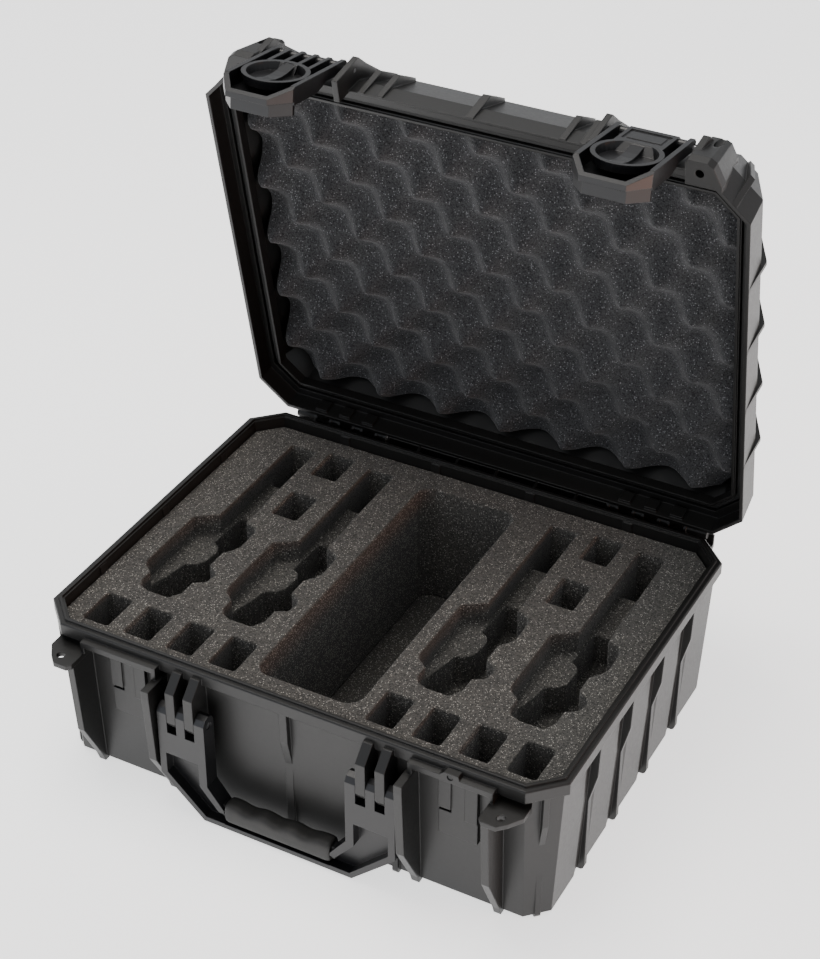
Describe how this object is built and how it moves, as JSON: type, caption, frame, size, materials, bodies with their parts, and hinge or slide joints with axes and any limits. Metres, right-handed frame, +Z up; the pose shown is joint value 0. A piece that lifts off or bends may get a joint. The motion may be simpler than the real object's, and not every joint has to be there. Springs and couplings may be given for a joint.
{
  "type": "carrying case",
  "caption": "Hard moulded carrying case with hinged lid, draw latches, folding handle and die-cut foam pockets.",
  "frame": {"origin": "floor level under the middle of the base, on the flat pad moulded into the underside", "axes": "+Z up, +Y from the handle side towards the hinge side, +X to the right seen from the handle side"},
  "size_m": [0.4846, 0.4642, 0.5456],
  "materials": {
    "shell": "injection-moulded polypropylene with a fine pebble texture",
    "hardware_plastic": "smooth moulded ABS, semi-gloss",
    "grip_rubber": "soft over-moulded grip, matt",
    "seal_rubber": "round-topped rubber seal",
    "base_foam": "open-cell polyurethane foam, charcoal, with pale flecks",
    "lid_foam": "convoluted open-cell foam, dark grey",
    "steel_pin": "plain steel rod",
    "valve_plastic": "small vent plug"
  },
  "bodies": {
    "base": {"base_shell": "shell", "foam_upper_layer": "base_foam", "foam_middle_layer": "base_foam", "foam_bottom_pad": "base_foam", "pressure_valve": "valve_plastic", "hinge_left_pin": "steel_pin", "hinge_right_pin": "steel_pin", "handle_left_pin": "steel_pin", "handle_right_pin": "steel_pin"},
    "lid": {"lid_shell": "shell", "lid_seal": "seal_rubber", "lid_convoluted_foam": "lid_foam", "latch_left_pin": "steel_pin", "latch_right_pin": "steel_pin"},
    "latch_left": {"latch_left_frame": "hardware_plastic", "latch_left_insert": "hardware_plastic"},
    "latch_right": {"latch_right_frame": "hardware_plastic", "latch_right_insert": "hardware_plastic"},
    "carry_handle": {"handle": "hardware_plastic", "handle_grip": "grip_rubber"}
  },
  "joints": [
    {"name": "lid_hinge", "type": "hinge", "parent": "base", "child": "lid", "pos_m": [0, 0.199, 0.1381], "axis": [-1, 0, 0], "range_deg": [-78.6, 26]},
    {"name": "handle_swing", "type": "hinge", "parent": "base", "child": "carry_handle", "pos_m": [0, -0.189, 0.1025], "axis": [-1, 0, 0], "range_deg": [0, 90]},
    {"name": "latch_left_swing", "type": "hinge", "parent": "lid", "child": "latch_left", "pos_m": [-0.152, 0.14076, 0.53114], "axis": [-1, 0, 0], "range_deg": [-17.5, 80]},
    {"name": "latch_right_swing", "type": "hinge", "parent": "lid", "child": "latch_right", "pos_m": [0.152, 0.14076, 0.53114], "axis": [-1, 0, 0], "range_deg": [-17.5, 80]}
  ]
}
